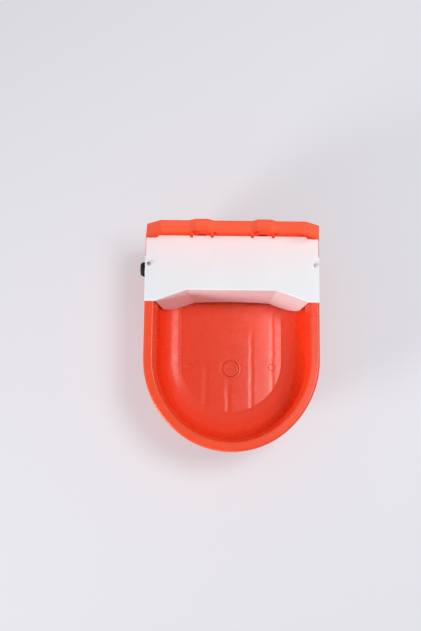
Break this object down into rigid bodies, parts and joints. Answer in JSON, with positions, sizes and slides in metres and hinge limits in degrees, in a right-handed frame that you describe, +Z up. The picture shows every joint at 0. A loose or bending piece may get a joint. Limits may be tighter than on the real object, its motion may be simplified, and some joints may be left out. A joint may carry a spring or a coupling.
{
  "type": "livestock drinking bowl",
  "caption": "Wall-mounted moulded drinking bowl with a deep rounded basin, a screwed white cover with a skirt over the float valve, a capped side inlet and a drain plug.",
  "frame": {"origin": "midpoint between the two wall bolt holes, on the plane where the upright channels of the back wall touch the wall", "axes": "+X to the right seen from the front, +Y from the bowl into the wall, +Z up"},
  "size_m": [0.3042, 0.3767, 0.17],
  "materials": {
    "bowl_red": "satin moulded, slightly glossy",
    "cover_white": "satin moulded",
    "black_plastic": "matt moulded",
    "valve_white": "matt moulded",
    "lever_grey": "matt moulded",
    "float_blue": "matt moulded",
    "plug_red": "satin moulded",
    "brass": "turned",
    "steel": "zinc plated",
    "rubber": "matt"
  },
  "bodies": {
    "bowl_unit": {"bowl": "bowl_red", "cover": "cover_white", "cover_screws": "steel", "valve_body": "valve_white", "inlet_gasket": "rubber", "locknut_washer": "rubber", "locknut": "black_plastic", "inlet_strainer": "lever_grey", "nozzle": "brass", "nozzle_ring": "rubber", "lever_pin": "steel", "pin_clip": "steel"},
    "float_arm": {"float_lever": "lever_grey", "float_shell": "float_blue", "float_base": "float_blue", "float_screws": "steel"},
    "valve_piston": {"piston": "black_plastic", "piston_seal": "rubber"},
    "plug": {"drain_plug": "plug_red", "plug_seal": "rubber"},
    "dust_cap": {"inlet_cap": "black_plastic"}
  },
  "joints": [
    {"name": "float_swing", "type": "hinge", "parent": "bowl_unit", "child": "float_arm", "pos_m": [-0.0855, -0.0634, -0.027], "axis": [0, -1, 0], "range_deg": [0, 18]},
    {"name": "piston_slide", "type": "slide", "parent": "bowl_unit", "child": "valve_piston", "axis": [-1, 0, 0], "range_m": [0, 0.00501]},
    {"name": "plug_lift", "type": "slide", "parent": "bowl_unit", "child": "plug", "axis": [0, 0, 1], "range_m": [0, 0.03]},
    {"name": "cap_pull", "type": "slide", "parent": "bowl_unit", "child": "dust_cap", "axis": [-1, 0, 0], "range_m": [0, 0.02]}
  ],
  "couplings": [
    {"joint": "piston_slide", "follows": "float_swing", "m_per_rad": 0.015935}
  ]
}
